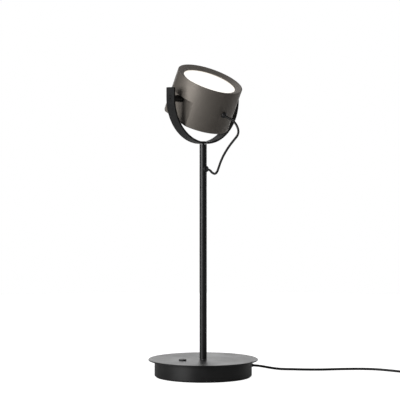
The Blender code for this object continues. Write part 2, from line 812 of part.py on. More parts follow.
def front_ring():
    """The dished ring between the shell's rim and the diffuser."""
    outer = RING_SEAT - GAP
    outline = [
        (outer, HEAD_FRONT - 0.3 * MM),
        (outer, RING_BACK + GAP),
        (LENS_RADIUS, RING_BACK + GAP),
        (LENS_RADIUS, HEAD_FRONT - DISH_DEPTH),
    ]
    placed(turned("front_ring", outline, BRONZE, FINE, ring=True), head_frame)


def light_engine():
    placed(disc("diffuser", BORE - 0.4 * MM, RING_BACK - 3 * MM, RING_BACK, OPAL, 48), head_frame)
    top = RING_BACK - 3 * MM - GAP
    cup = turned(
        "reflector",
        [
            (48.5 * MM, top),
            (50.5 * MM, top),
            (50.5 * MM, top - 1 * MM),
            (49.3 * MM, top - 1 * MM),
            (17.5 * MM, 11.2 * MM),
            (16 * MM, 11.2 * MM),
        ],
        WHITE_PLASTIC,
        32,
        ring=True,
    )
    placed(cup, head_frame)
    board_low, board_high = 9.3 * MM, 10.9 * MM
    board = turned(
        "led_board",
        [
            (0, board_high + 1 * MM),
            (10 * MM, board_high + 1 * MM),
            (10 * MM, board_high),
            (40 * MM, board_high),
            (40 * MM, board_low),
            (0, board_low),
        ],
        WHITE_PLASTIC,
        32,
    )
    placed(board, head_frame)
    low, sole = -14 * MM, 5 * MM
    sink = placed(disc("heat_sink", 38 * MM, low, board_low - GAP, ALUMINIUM, 48), head_frame)
    slots = bmesh.new()
    pitch, slot_width, slot_count = 8 * MM, 5.5 * MM, 9
    for number in range(slot_count):
        cube = bmesh.ops.create_cube(slots, size=1)["verts"]
        centre = Vector(((number - (slot_count - 1) / 2) * pitch, 0, (low + sole) / 2 - 2 * MM))
        for vert in cube:
            size = Vector((slot_width, 100 * MM, sole - low + 4 * MM))
            vert.co = Vector([a * b for a, b in zip(vert.co, size)]) + centre
    boolean(sink, placed(new_object("fin_slots", slots, ALUMINIUM, smooth=False), head_frame))


def rear_cover():
    low, high = -HEAD_BACK, 1.5 * MM - HEAD_BACK
    cover = placed(disc("rear_cover", COVER_SEAT - 0.4 * MM, low, high, BLACK_COAT, 48), head_frame)
    vents = bmesh.new()
    for number, length in enumerate((34, 46, 52, 46, 34)):
        cube = bmesh.ops.create_cube(vents, size=1)["verts"]
        across = (number - 2) * 9 * MM
        for vert in cube:
            x, y, z = vert.co
            vert.co = (x * length * MM, y * 2.6 * MM + across, z * 8 * MM + low)
    boolean(cover, placed(new_object("vent_slots", vents, BLACK_COAT, smooth=False), head_frame))
    for number, spot in enumerate(REAR_SCREW_SPOTS):
        hole = disc(f"rear_cover_hole_{number + 1}", 1.7 * MM, -40 * MM, -30 * MM, BLACK_COAT, 12)
        boolean(cover, placed(hole, head_frame, spot))
        seat = low - GAP
        screw = turned(
            f"rear_screw_{number + 1}",
            [
                (0, seat + 6 * MM),
                (1.3 * MM, seat + 6 * MM),
                (1.3 * MM, seat),
                (2.6 * MM, seat),
                (2.4 * MM, seat - 0.9 * MM),
                (1.6 * MM, seat - 1.3 * MM),
                (0, seat - 1.4 * MM),
            ],
            STEEL,
            16,
        )
        placed(screw, head_frame, spot)


def head_fittings():
    for side, name in SIDES:
        frame = side_frame(side, f"{name}_inner", head_frame)
        face = FLAT_DISTANCE + GAP
        ring = washer(
            f"friction_washer_{name}",
            SCREW_CLEARANCE,
            SPACER_RADIUS,
            face,
            face + WASHER_THICKNESS,
            BLACK_PLASTIC,
            32,
        )
        placed(ring, frame)
        inner_face = FLAT_DISTANCE - HEAD_WALL - GAP
        nut = washer(f"pivot_nut_{name}", 3.2 * MM, 5.8 * MM, inner_face - 4 * MM, inner_face, STEEL, 6)
        placed(nut, frame)
    gland = turned(
        "head_gland",
        [
            (0, 59 * MM),
            (2.5 * MM, 59 * MM),
            (3.4 * MM, 57.8 * MM),
            (4.6 * MM, 57.2 * MM),
            (5 * MM, 56.6 * MM),
            (5 * MM, HEAD_RADIUS + GAP),
            (GLAND_BARREL, HEAD_RADIUS + GAP),
            (GLAND_BARREL, 51.2 * MM),
            (4.4 * MM, 51.2 * MM),
            (3.8 * MM, 49.8 * MM),
            (0, 49.8 * MM),
        ],
        BLACK_PLASTIC,
        24,
    )
    placed(gland, gland_frame)


base_plate()
drum()
bottom_cover()
foot_ring()
ballast()
driver()
switch()
strain_relief()
lead_anchor()
mains_lead()
lead_coil()
plug()
swivel()
post()
fork()
pivots()
head_lead()
head_shell()
front_ring()
light_engine()
rear_cover()
head_fittings()
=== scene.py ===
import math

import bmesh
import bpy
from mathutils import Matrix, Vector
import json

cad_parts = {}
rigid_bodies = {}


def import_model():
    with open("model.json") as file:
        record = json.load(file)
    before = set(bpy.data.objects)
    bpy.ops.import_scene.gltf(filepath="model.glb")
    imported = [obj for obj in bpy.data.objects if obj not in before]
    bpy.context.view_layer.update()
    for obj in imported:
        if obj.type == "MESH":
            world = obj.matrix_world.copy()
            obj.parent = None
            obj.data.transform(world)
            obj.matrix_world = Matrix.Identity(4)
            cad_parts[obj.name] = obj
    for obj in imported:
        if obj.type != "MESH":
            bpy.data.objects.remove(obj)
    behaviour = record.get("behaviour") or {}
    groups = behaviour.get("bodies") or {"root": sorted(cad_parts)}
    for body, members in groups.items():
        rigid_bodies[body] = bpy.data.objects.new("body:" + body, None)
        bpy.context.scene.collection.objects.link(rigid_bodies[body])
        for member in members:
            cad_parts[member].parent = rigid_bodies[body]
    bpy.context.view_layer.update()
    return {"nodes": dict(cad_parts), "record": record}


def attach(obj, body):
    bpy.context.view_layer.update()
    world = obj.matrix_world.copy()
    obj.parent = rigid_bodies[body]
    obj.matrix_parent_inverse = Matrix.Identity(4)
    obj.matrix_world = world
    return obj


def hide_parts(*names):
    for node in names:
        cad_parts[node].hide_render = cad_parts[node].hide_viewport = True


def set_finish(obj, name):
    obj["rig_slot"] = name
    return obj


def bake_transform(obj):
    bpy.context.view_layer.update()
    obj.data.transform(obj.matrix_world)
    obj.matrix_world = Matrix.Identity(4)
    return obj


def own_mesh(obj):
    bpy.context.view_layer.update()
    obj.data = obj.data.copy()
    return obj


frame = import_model()

# %% [markdown]
# # A desk lamp with a tilting spot head
# The solid model of the lamp is loaded as a fixed frame: every body that moves, and every part's size and
# place, comes from it. This lesson adds what the eye sees. Each visible part is modelled again with
# rounder curves and softened edges, and every surface gets a finish built from nodes.

MM = 0.001
scene = bpy.context.scene

# %% [markdown]
# ## Camera
# A long lens from nearly three metres away keeps the lamp's post straight and its round base a flat
# ellipse. The camera stands a little below the head and looks slightly down.

# %% Camera
RIGHT = Vector((0.7278, -0.6858, 0))
AWAY = Vector((0.6858, 0.7278, 0))
DISTANCE, EYE, AIM, ASIDE = 2.72, 0.371, 0.2901, 0.0052
LENS = 149.4
camera = bpy.data.objects.new("camera", bpy.data.cameras.new("camera"))
scene.collection.objects.link(camera)
scene.camera = camera
camera.location = -AWAY * DISTANCE + Vector((0, 0, EYE))
target = -RIGHT * ASIDE + Vector((0, 0, AIM))
camera.rotation_euler = (target - camera.location).to_track_quat("-Z", "Y").to_euler()
camera.data.sensor_width = 36
camera.data.lens = LENS
camera.data.clip_start = 0.05
print("camera stands", round(camera.location.length, 2), "m from the lamp's foot")

# %% [markdown]
# ## Cords first
# The mains lead leaves the base, sinks to the table, wanders off in loose bends, and its spare length is
# wound into a coil of two layers, as for storage. It is drawn as a curve with a round bevel, whose
# thickness stays even however it bends, and the curve is then turned into a mesh. The route's points are
# listed and a smooth line is drawn through them.

# %% A smooth line through points
FINE_STEPS = 24


def smooth_line(knots, spacing):
    knots = [Vector(knot) for knot in knots]
    ends = [2 * knots[0] - knots[1], *knots, 2 * knots[-1] - knots[-2]]
    line = []
    for a, b, c, d in zip(ends, ends[1:], ends[2:], ends[3:]):
        for step in range(FINE_STEPS):
            t = step / FINE_STEPS
            bend = (2 * a - 5 * b + 4 * c - d) * t**2
            twist = (3 * b - a - 3 * c + d) * t**3
            line.append(0.5 * (2 * b + (c - a) * t + bend + twist))
    line.append(knots[-1])
    return even_line(line, spacing)


def even_line(line, spacing):
    total = line_length(line)
    count = max(2, round(total / spacing))
    even, walked, index = [line[0]], 0.0, 0
    for number in range(1, count):
        wanted = total * number / count
        while walked + (line[index + 1] - line[index]).length < wanted:
            walked += (line[index + 1] - line[index]).length
            index += 1
        stretch = line[index + 1] - line[index]
        even.append(line[index] + stretch * ((wanted - walked) / stretch.length))
    return [*even, line[-1]]


def line_length(line):
    return sum((q - p).length for p, q in zip(line, line[1:]))


print("lines are drawn through", FINE_STEPS, "steps between knots")

# %% The route over the table
LIE = 0.0021
LEAD_RADIUS = 0.002
LEAD_SPACING = 0.004
LEAD_ROUTE = (
    (0.0986, -0.0174, 0.0112),
    (0.1117, -0.0200, 0.0092),
    (0.1213, -0.0229, 0.0072),
    (0.1301, -0.0267, 0.0052),
    (0.1382, -0.0313, 0.0036),
    (0.1457, -0.0364, 0.0026),
    (0.1537, -0.0425, LIE),
    (0.1610, -0.0508, LIE),
    (0.1673, -0.0601, LIE),
    (0.1779, -0.0722, LIE),
    (0.1901, -0.0841, LIE),
    (0.2044, -0.0937, LIE),
    (0.2191, -0.1029, LIE),
    (0.2329, -0.1130, LIE),
    (0.2458, -0.1241, LIE),
    (0.2562, -0.1364, LIE),
    (0.2630, -0.1496, LIE),
    (0.2666, -0.1647, LIE),
    (0.2690, -0.1809, LIE),
    (0.2704, -0.1940, LIE),
    (0.2717, -0.2041, LIE),
)
loose_part = smooth_line(LEAD_ROUTE, LEAD_SPACING)
print("loose part of the lead:", round(line_length(loose_part), 3), "m")

# %% [markdown]
# The coil runs inwards through five turns on the table, climbs by its own thickness, and runs outwards
# again on top. The radius and the height each change over a short part of a turn, and never at the same
# place, so the turns lie beside and on each other. Where they are closest, they press into each other by
# 0.2 mm.

# %% The coil
COIL_CENTRE = Vector((0.3049, -0.2176, 0))
COIL_START = math.radians(186.2)
TURNS = 9.3625
PITCH = 0.004
OUTER_TURN = 0.0315
INWARD_STEPS = (0.8, 1.8, 2.8, 3.8)
CLIMB = 4.585
OUTWARD_STEPS = (5.37, 6.37, 7.37, 8.37)
EASE = 0.2


def eased(turn, start):
    part = min(max((turn - start) / EASE, 0), 1)
    return part * part * (3 - 2 * part)


def coil_point(turn):
    radius = OUTER_TURN - PITCH * sum(eased(turn, start) for start in INWARD_STEPS)
    radius += PITCH * sum(eased(turn, start) for start in OUTWARD_STEPS)
    height = LIE + PITCH * eased(turn, CLIMB)
    angle = COIL_START + 2 * math.pi * turn
    return COIL_CENTRE + Vector((radius * math.cos(angle), radius * math.sin(angle), height))


TURN_POINTS = 30
coil_part = [coil_point(number / TURN_POINTS) for number in range(round(TURNS * TURN_POINTS))]
coil_part.append(coil_point(TURNS))
print("wound part of the lead:", round(line_length(coil_part), 3), "m")

# %% The tail, up to the plug
PLUG_REAR = Vector((0.3511, -0.2144, 0.0072))
PLUG_AIM = math.radians(46.7)
TAIL_ROUTE = (
    coil_part[-1],
    (0.3338, -0.2328, 0.0062),
    (0.3397, -0.2266, 0.0064),
    (0.3436, -0.2225, 0.0067),
    (0.3474, -0.2184, 0.0070),
    PLUG_REAR,
)
tail_part = smooth_line(TAIL_ROUTE, LEAD_SPACING)
JOIN_KNOT = (0.2726, -0.2125, LIE)
join_part = smooth_line((loose_part[-1], JOIN_KNOT, coil_part[0]), LEAD_SPACING)
lead_line = loose_part + join_part[1:-1] + coil_part + tail_part[1:]

# %% The lead as a curve with a round bevel, turned into a mesh
def only(obj):
    bpy.ops.object.select_all(action="DESELECT")
    obj.select_set(True)
    bpy.context.view_layer.objects.active = obj


def cord_tube(name, line, radius):
    curve = bpy.data.curves.new(name, "CURVE")
    curve.dimensions = "3D"
    curve.bevel_depth = radius
    curve.bevel_resolution = 4
    curve.use_fill_caps = True
    spline = curve.splines.new("POLY")
    spline.points.add(len(line) - 1)
    for knot, point in zip(spline.points, line):
        knot.co = (*point, 1)
    tube = bpy.data.objects.new(name, curve)
    scene.collection.objects.link(tube)
    only(tube)
    bpy.ops.object.convert(target="MESH")
    tube = bpy.context.object
    bpy.ops.object.mode_set(mode="EDIT")
    bpy.ops.mesh.select_all(action="SELECT")
    bpy.ops.mesh.remove_doubles(threshold=1e-6)
    bpy.ops.mesh.normals_make_consistent(inside=False)
    bpy.ops.object.mode_set(mode="OBJECT")
    bpy.ops.object.shade_smooth_by_angle(angle=math.radians(50))
    return tube


mains_lead = cord_tube("mains_lead_long", lead_line, LEAD_RADIUS)
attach(mains_lead, "base")
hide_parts("mains_lead", "lead_coil", "mains_lead_tail")
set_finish(mains_lead, "black_lead_rubber")
print("mains lead:", len(mains_lead.data.polygons), "faces")

# %% [markdown]
# ## The head's lead
# A second, slightly thinner lead runs from the tilting head to a bush in the post, in one hanging loop.

# %% The head's lead as a mesh
HEAD_LEAD_RADIUS = 0.0019
HEAD_LEAD_ROUTE = (
    (0, -0.0518, 0.4269),
    (0, -0.0566, 0.4246),
    (0, -0.0655, 0.4212),
    (0, -0.0732, 0.4165),
    (0, -0.0793, 0.4098),
    (0, -0.0822, 0.4025),
    (0, -0.0803, 0.3957),
    (0, -0.0730, 0.3888),
    (0, -0.0632, 0.3801),
    (0, -0.0543, 0.3708),
    (0, -0.0470, 0.3617),
    (0, -0.0412, 0.3526),
    (0, -0.0368, 0.3438),
    (0, -0.0326, 0.3363),
    (0, -0.0275, 0.3334),
    (0, -0.0215, 0.3351),
    (0, -0.0160, 0.3389),
    (0, -0.0088, 0.3410),
)
HEAD_LEAD_SPACING = 0.0025
head_lead_line = smooth_line(HEAD_LEAD_ROUTE, HEAD_LEAD_SPACING)

head_lead = cord_tube("head_lead_loop", head_lead_line, HEAD_LEAD_RADIUS)
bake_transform(head_lead)
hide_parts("head_lead")
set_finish(head_lead, "black_lead_rubber")

# %% [markdown]
# ## Helpers for shaping
# Most of the lamp's parts were turned on a lathe or formed round, so most are made the same way here: one
# point is extruded into a profile, and the profile is spun round. What differs is the profile.

# %% Editing helpers
def edit(obj):
    only(obj)
    bpy.ops.object.mode_set(mode="EDIT")
    bpy.ops.mesh.select_all(action="DESELECT")


def select_where(obj, rule, kind="FACE"):
    bpy.ops.mesh.select_mode(type=kind)
    bpy.ops.mesh.select_all(action="DESELECT")
    bm = bmesh.from_edit_mesh(obj.data)
    parts = {"FACE": bm.faces, "EDGE": bm.edges, "VERT": bm.verts}[kind]
    for part in parts:
        part.select_set(bool(rule(part)))
    bmesh.update_edit_mesh(obj.data)


def apply_modifier(obj, kind, **settings):
    only(obj)
    modifier = obj.modifiers.new(kind.title(), kind)
    for key, value in settings.items():
        setattr(modifier, key, value)
    bpy.ops.object.modifier_apply(modifier=modifier.name)


def soften(obj, width, segments=2, angle=28):
    apply_modifier(
        obj, "BEVEL", width=width, segments=segments, limit_method="ANGLE", angle_limit=math.radians(angle)
    )


def put(obj, at=(0, 0, 0), turn=(0, 0, 0)):
    only(obj)
    obj.location = at
    obj.rotation_euler = turn
    bpy.ops.object.transform_apply(location=True, rotation=True, scale=True)


def smooth(obj, angle=30):
    only(obj)
    bpy.ops.object.shade_smooth_by_angle(angle=math.radians(angle))
    apply_modifier(obj, "WEIGHTED_NORMAL", keep_sharp=True)


def lathe(name, profile, steps=96, closed=False):
    """profile is (radius, height) pairs in mm, axis to axis, or a closed ring's outline."""
    bpy.ops.object.select_all(action="DESELECT")
    bpy.ops.mesh.primitive_plane_add(size=0.001, location=(0, 0, 0))
    obj = bpy.context.object
    obj.name = obj.data.name = name
    bpy.ops.object.mode_set(mode="EDIT")
    bpy.ops.mesh.select_mode(type="VERT")
    bpy.ops.mesh.select_all(action="SELECT")
    bpy.ops.mesh.merge(type="CENTER")
    points = [Vector((radius * MM, 0, height * MM)) for radius, height in profile]
    bpy.ops.transform.translate(value=points[0])
    for before, after in zip(points, points[1:]):
        bpy.ops.mesh.extrude_vertices_move(TRANSFORM_OT_translate={"value": after - before})
    if closed:
        bpy.ops.mesh.extrude_vertices_move(TRANSFORM_OT_translate={"value": points[0] - points[-1]})
    bpy.ops.mesh.select_all(action="SELECT")
    bpy.ops.mesh.remove_doubles(threshold=1e-6)
    bpy.ops.mesh.spin(steps=steps, angle=2 * math.pi, center=(0, 0, 0), axis=(0, 0, 1))
    bpy.ops.mesh.select_all(action="SELECT")
    bpy.ops.mesh.remove_doubles(threshold=2e-6)
    bpy.ops.mesh.normals_make_consistent(inside=False)
    bpy.ops.object.mode_set(mode="OBJECT")
    return obj


def cut(obj, tool, operation="DIFFERENCE"):
    apply_modifier(obj, "BOOLEAN", operation=operation, solver="EXACT", object=tool)
    bpy.data.objects.remove(tool, do_unlink=True)


def rod(radius, high, low, steps=32):
    """A plain cylinder on the z axis, in mm, for cutting a hole."""
    return lathe("hole", [(0, high), (radius, high), (radius, low), (0, low)], steps=steps)


def bar(name, low, high):
    """A box between two corners, in mm. It serves as a cutting tool, or as the start of a piece."""
    low, high = Vector(low) * MM, Vector(high) * MM
    bpy.ops.object.select_all(action="DESELECT")
    bpy.ops.mesh.primitive_cube_add(size=1, location=(low + high) / 2)
    obj = bpy.context.object
    obj.name = obj.data.name = name
    obj.scale = high - low
    bpy.ops.object.transform_apply(location=True, rotation=True, scale=True)
    return obj


def fit(obj, body, slot, *nodes):
    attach(obj, body)
    if nodes:
        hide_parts(*nodes)
    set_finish(obj, slot)


BASE_ANGLE = math.radians(-10)
base_matrix = Matrix.Rotation(BASE_ANGLE, 4, "Z")
PIVOT = (0, 0, 0.455)
HEAD_TURN = (math.radians(27.5), 0, 0)
print("helpers ready")

# %% [markdown]
# ## Base plate
# The plate is a thin round disc that overhangs the drum by 10 mm. A turned profile with a small radius on
# both edges catches a thin line of light, as the real pressed edge does. The button's hole is cut.

# %% Base plate
BUTTON_AT = base_matrix @ Vector((-0.040, 0, 0))
plate = lathe(
    "plate",
    [(6.3, 29), (89.4, 29), (90, 28.6), (90, 27.4), (89.4, 27), (6.3, 27)],
    steps=192,
    closed=True,
)
hole = rod(6.6, 35, 20, steps=48)
put(hole, BUTTON_AT)
cut(plate, hole)
soften(plate, 0.25 * MM)
smooth(plate)
fit(plate, "base", "black_powder_coat", "base_plate")
print("plate:", len(plate.data.polygons), "faces")

# %% [markdown]
# ## Drum
# A rolled and welded steel band under the plate hides the ballast and the driver. It is a thin shell with
# a flat rim for the plate, so it is spun from a closed outline, and the lead's hole is cut through it.

# %% Drum
drum = lathe(
    "drum_band",
    [(70, 26.7), (80, 26.7), (80, 2.6), (79.7, 1.9), (79.0, 1.5), (78, 1.5), (78, 24.7), (70, 24.7)],
    steps=192,
    closed=True,
)
EXIT_AT = base_matrix @ Vector((0.080, 0, 0.014))
EXIT_TURN = (base_matrix @ Matrix.Rotation(math.radians(98), 4, "Y")).to_euler()
hole = rod(4.7, 12, -12)
put(hole, EXIT_AT, EXIT_TURN)
cut(drum, hole)
smooth(drum)
fit(drum, "base", "black_powder_coat", "drum")
print("drum:", len(drum.data.polygons), "faces")

# %% [markdown]
# ## Underside
# The lamp stands on a soft pad ring round a screwed cover. Few people look here, but a lamp gets turned
# over to find its screws, so the cover gets a stepped edge, a shallow dish and real screw heads.

# %% Cover and pad ring
cover = lathe(
    "cover_plate",
    [(0, 3), (77.6, 3), (77.6, 1.6), (76.8, 1.5), (72.5, 1.5), (71.8, 1.8), (30, 1.8), (28, 1.5), (0, 1.5)],
    steps=128,
)
SCREW_SPOTS = [
    base_matrix @ Matrix.Rotation(math.radians(angle), 4, "Z") @ Vector((0.068, 0, 0))
    for angle in (60, 180, 300)
]
for spot in SCREW_SPOTS:
    hole = rod(1.8, 6, 0, steps=24)
    put(hole, spot)
    cut(cover, hole)
smooth(cover)
fit(cover, "base", "black_powder_coat", "bottom_cover")

pad = lathe(
    "pad_ring",
    [(73.5, 1.2), (78, 1.2), (78, 0.5), (77.7, 0.15), (77.2, 0), (74.3, 0), (73.8, 0.15), (73.5, 0.5)],
    steps=128,
    closed=True,
)
smooth(pad, 50)
fit(pad, "base", "foot_pad", "foot_ring")
print("underside: cover and pad ring")

# %% [markdown]
# ## Screws
# All the small screws are pan heads with a hexagonal socket. One is spun with a domed head, its socket is
# cut with a six-sided tool, and the others are copies with their own meshes.

# %% One screw, then copies
def screw(name, head_radius, head_height, shank_radius, shank_length, socket=1.4):
    body = lathe(
        name,
        [
            (0, head_height),
            (head_radius * 0.62, head_height),
            (head_radius * 0.9, head_height * 0.78),
            (head_radius, head_height * 0.4),
            (head_radius, 0),
            (shank_radius, 0),
            (shank_radius, -shank_length),
            (0, -shank_length),
        ],
        steps=32,
    )
    above = head_height + 1
    tool = lathe("socket", [(0, above), (socket, above), (socket, 0.25), (0, 0.05)], steps=6)
    cut(body, tool)
    smooth(body)
    return body


def copy_of(obj, name):
    twin = obj.copy()
    twin.data = obj.data.copy()
    twin.name = twin.data.name = name
    scene.collection.objects.link(twin)
    return twin


master = screw("screw_master", 2.8, 0.8, 1.4, 8.6, socket=1.3)
for number, spot in enumerate(SCREW_SPOTS, 1):
    one = copy_of(master, f"base_screw_{number}")
    put(one, (spot.x, spot.y, 0.0012), (math.pi, 0, 0.4 * number))
    fit(one, "base", "zinc_plated_steel", f"cover_screw_{number}")
bpy.data.objects.remove(master, do_unlink=True)
print("3 screws under the base")

# %% [markdown]
# ## Push button
# A round button of soft black plastic stands just proud of the plate. Its crown is slightly dished, so a
# finger finds it, and its rim is rounded. It is a body of its own and moves down when pressed.

# %% Push button
button = lathe(
    "push_button",
    [
        (0, 30.75),
        (2.0, 30.8),
        (3.6, 30.95),
        (4.6, 31.15),
        (5.2, 31.2),
        (5.75, 31.05),
        (6.1, 30.6),
        (6.2, 30.0),
        (6.2, 23),
        (2, 23),
        (2, 15),
        (0, 15),
    ],
    steps=64,
)
put(button, BUTTON_AT)
smooth(button, 40)
fit(button, "button", "black_plastic", "switch_button")
print("button")

# %% [markdown]
# The button's spring is a helix of thin wire. It stands in the switch and can't simply move with the
# button, so it stays with the base.

# %% Button spring
SPRING_LOW, SPRING_HIGH, SPRING_TURNS, SPRING_STEPS = 0.0127, 0.0223, 6, 144
SPRING_RADIUS, SPRING_WIRE = 0.004, 0.0004
spring_line = []
for number in range(SPRING_STEPS + 1):
    turned_by = 2 * math.pi * SPRING_TURNS * number / SPRING_STEPS
    height = SPRING_LOW + (SPRING_HIGH - SPRING_LOW) * number / SPRING_STEPS
    x, y = SPRING_RADIUS * math.cos(turned_by), SPRING_RADIUS * math.sin(turned_by)
    spring_line.append(BUTTON_AT + Vector((x, y, height)))
spring = cord_tube("button_spring", spring_line, SPRING_WIRE)
fit(spring, "base", "zinc_plated_steel", "switch_spring")
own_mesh(spring)
print("spring:", SPRING_TURNS, "turns")

# %% [markdown]
# ## Lead's sleeve at the base
# A tapered rubber sleeve keeps the lead from kinking where it leaves the drum. Its ribs are grooves in the
# turned profile, closer to a real sleeve than a plain cone.

# %% Strain relief
SLEEVE_RIBS = 6
sleeve_profile = [(0, 20.0), (2.6, 20.0), (2.9, 19.7)]
for number in range(SLEEVE_RIBS):
    low = 18.6 - number * 2.3
    radius = 2.95 + 0.17 * number
    sleeve_profile += [(radius, low), (radius - 0.45, low - 0.35)]
    sleeve_profile += [(radius - 0.4, low - 0.95), (radius + 0.1, low - 1.3)]
sleeve_profile += [(4.0, 4.3), (5.4, 4.0), (5.6, 3.7), (5.6, 1.3), (4.4, 1.3), (4.4, -3.5)]
sleeve_profile += [(6, -3.5), (6, -5), (0, -5)]
sleeve = lathe("lead_sleeve", sleeve_profile, steps=48)
put(sleeve, EXIT_AT, EXIT_TURN)
smooth(sleeve, 35)
fit(sleeve, "base", "black_lead_rubber", "mains_strain_relief")
print("sleeve with", SLEEVE_RIBS, "ribs")

# %% [markdown]
# ## Plug
# A flat two-pin plug ends the lead. The body starts as a box, is narrowed at the lead's end by scaling
# that face, gets a grip recess by insetting its broad faces, and is rounded with a bevel.

# %% Plug body
PLUG_TURN = (0, 0, PLUG_AIM)
plug = bar("plug_shell", (14.3, -13, -6.9), (48.3, 13, 6.9))
edit(plug)
for across in (0.0200, 0.0265, 0.0330, 0.0440):
    bpy.ops.mesh.select_all(action="SELECT")
    bpy.ops.mesh.bisect(plane_co=(across, 0, 0), plane_no=(1, 0, 0))
select_where(plug, lambda vert: vert.co.x < 0.0150, "VERT")
bpy.ops.transform.resize(value=(1, 0.46, 0.74), center_override=(0, 0, 0))
select_where(plug, lambda vert: 0.0190 < vert.co.x < 0.0210, "VERT")
bpy.ops.transform.resize(value=(1, 0.66, 0.90), center_override=(0, 0, 0))
select_where(plug, lambda vert: 0.0250 < vert.co.x < 0.0280, "VERT")
bpy.ops.transform.resize(value=(1, 0.92, 1), center_override=(0, 0, 0))
bpy.ops.object.mode_set(mode="OBJECT")
soften(plug, 2.4 * MM, segments=5, angle=60)
edit(plug)
select_where(plug, lambda face: abs(face.normal.z) > 0.95 and 0.028 < face.calc_center_median().x < 0.041)
bpy.ops.mesh.inset(thickness=1.4 * MM, depth=-0.6 * MM)
bpy.ops.object.mode_set(mode="OBJECT")
put(plug, PLUG_REAR, PLUG_TURN)
smooth(plug, 35)
fit(plug, "base", "black_plastic", "plug_body")
print("plug body:", len(plug.data.polygons), "faces")

# %% Plug sleeve and pins
PLUG_RIBS = 4
plug_sleeve_profile = [(0, 14.0), (3.9, 14.0)]
for number in range(PLUG_RIBS):
    top = 12.6 - number * 3.0
    radius = 3.8 - 0.22 * number
    plug_sleeve_profile += [(radius, top), (radius - 0.5, top - 0.4)]
    plug_sleeve_profile += [(radius - 0.5, top - 1.2), (radius - 0.05, top - 1.6)]
plug_sleeve_profile += [(2.9, 0.3), (2.6, 0), (0, 0)]
plug_sleeve = lathe("plug_sleeve", plug_sleeve_profile, steps=32)
put(plug_sleeve, PLUG_REAR, (0, math.pi / 2, PLUG_AIM))
smooth(plug_sleeve, 35)
fit(plug_sleeve, "base", "black_lead_rubber", "plug_relief")

plug_matrix = Matrix.Translation(PLUG_REAR) @ Matrix.Rotation(PLUG_AIM, 4, "Z")
for side, name, node in ((1, "pin_left", "plug_pin_left"), (-1, "pin_right", "plug_pin_right")):
    pin = lathe(
        name,
        [(0, 67.6), (0.9, 67.6), (1.6, 67.1), (2, 66.2), (2, 57.6), (1.9, 57.5), (1.9, 48.6), (0, 48.6)],
        steps=32,
    )
    put(pin, plug_matrix @ Vector((0, side * 0.0093, 0)), (0, math.pi / 2, PLUG_AIM))
    smooth(pin, 35)
    fit(pin, "base", "plated_pin", node)
print("plug sleeve with", PLUG_RIBS, "ribs, and 2 pins")

# %% [markdown]
# A strap holds the coil. Its outline is a rectangle round the wound lead with rounded corners, extruded
# along the lead and given a thickness, as a woven strap has.

# %% Strap round the coil
bpy.ops.object.select_all(action="DESELECT")
bpy.ops.mesh.primitive_plane_add(size=1, location=(0, 0, 0))
strap = bpy.context.object
strap.name = strap.data.name = "coil_strap"
strap.scale = (20.9 * MM, 7.9 * MM, 1)
bpy.ops.object.transform_apply(location=True, rotation=True, scale=True)
edit(strap)
bpy.ops.mesh.select_all(action="SELECT")
bpy.ops.mesh.bevel(offset=2.2 * MM, segments=6, affect="VERTICES")
bpy.ops.mesh.select_all(action="SELECT")
bpy.ops.mesh.delete(type="ONLY_FACE")
bpy.ops.mesh.select_mode(type="EDGE")
bpy.ops.mesh.select_all(action="SELECT")
bpy.ops.mesh.extrude_edges_move(TRANSFORM_OT_translate={"value": (0, 0, 7 * MM)})
bpy.ops.mesh.select_all(action="SELECT")
bpy.ops.mesh.normals_make_consistent(inside=False)
bpy.ops.object.mode_set(mode="OBJECT")
apply_modifier(strap, "SOLIDIFY", thickness=0.4 * MM, offset=1)
soften(strap, 0.12 * MM, segments=2, angle=50)
STRAP_ANGLE = math.radians(60)
strap_place = (
    Matrix.Translation(COIL_CENTRE)
    @ Matrix.Rotation(STRAP_ANGLE, 4, "Z")
    @ Matrix.Translation((23.5 * MM, 3.5 * MM, 4.35 * MM))
    @ Matrix.Rotation(math.pi / 2, 4, "X")
)
put(strap, strap_place.to_translation(), strap_place.to_euler())
smooth(strap, 30)
fit(strap, "base", "black_lead_rubber")
print("strap:", len(strap.data.polygons), "faces")

# %% [markdown]

# %% [markdown]
# ## Post
# A straight steel tube. The profile has a tiny chamfer at both ends, and the bush for the head's lead
# sits in a hole in its side, so the hole is cut and the bush is turned to fit.

# %% Post
BUSH_AT = (0, 0, 0.341)
BUSH_TURN = (math.pi / 2, 0, 0)
post = lathe(
    "post_tube",
    [(4.75, 29.3), (5.8, 29.3), (6, 29.5), (6, 381.5), (5.8, 381.7), (4.75, 381.7)],
    steps=96,
    closed=True,
)
hole = rod(2.9, 9, 3)
put(hole, BUSH_AT, BUSH_TURN)
cut(post, hole)
smooth(post)
fit(post, "stem", "black_powder_coat", "post")

bush = lathe(
    "lead_bush",
    [
        (0, 9.0),
        (2.0, 9.0),
        (2.6, 8.9),
        (3.2, 8.55),
        (3.5, 8.35),
        (4.6, 8.25),
        (5.0, 8.0),
        (5.2, 7.6),
        (5.2, 6.3),
        (2.6, 6.3),
        (2.6, 3.2),
        (0, 3.2),
    ],
    steps=48,
)
put(bush, BUSH_AT, BUSH_TURN)
smooth(bush, 40)
fit(bush, "stem", "black_plastic", "post_bush")
print("post and bush")

# %% [markdown]
# ## Fork
# The fork is one flat steel strip bent into a half circle with short straight arms. The strip's end
# outline is extruded down one arm, spun half a turn round the tilt axis and extruded up the other arm,
# which is how a bender forms it. The arms' ends are rounded and the long edges softened.

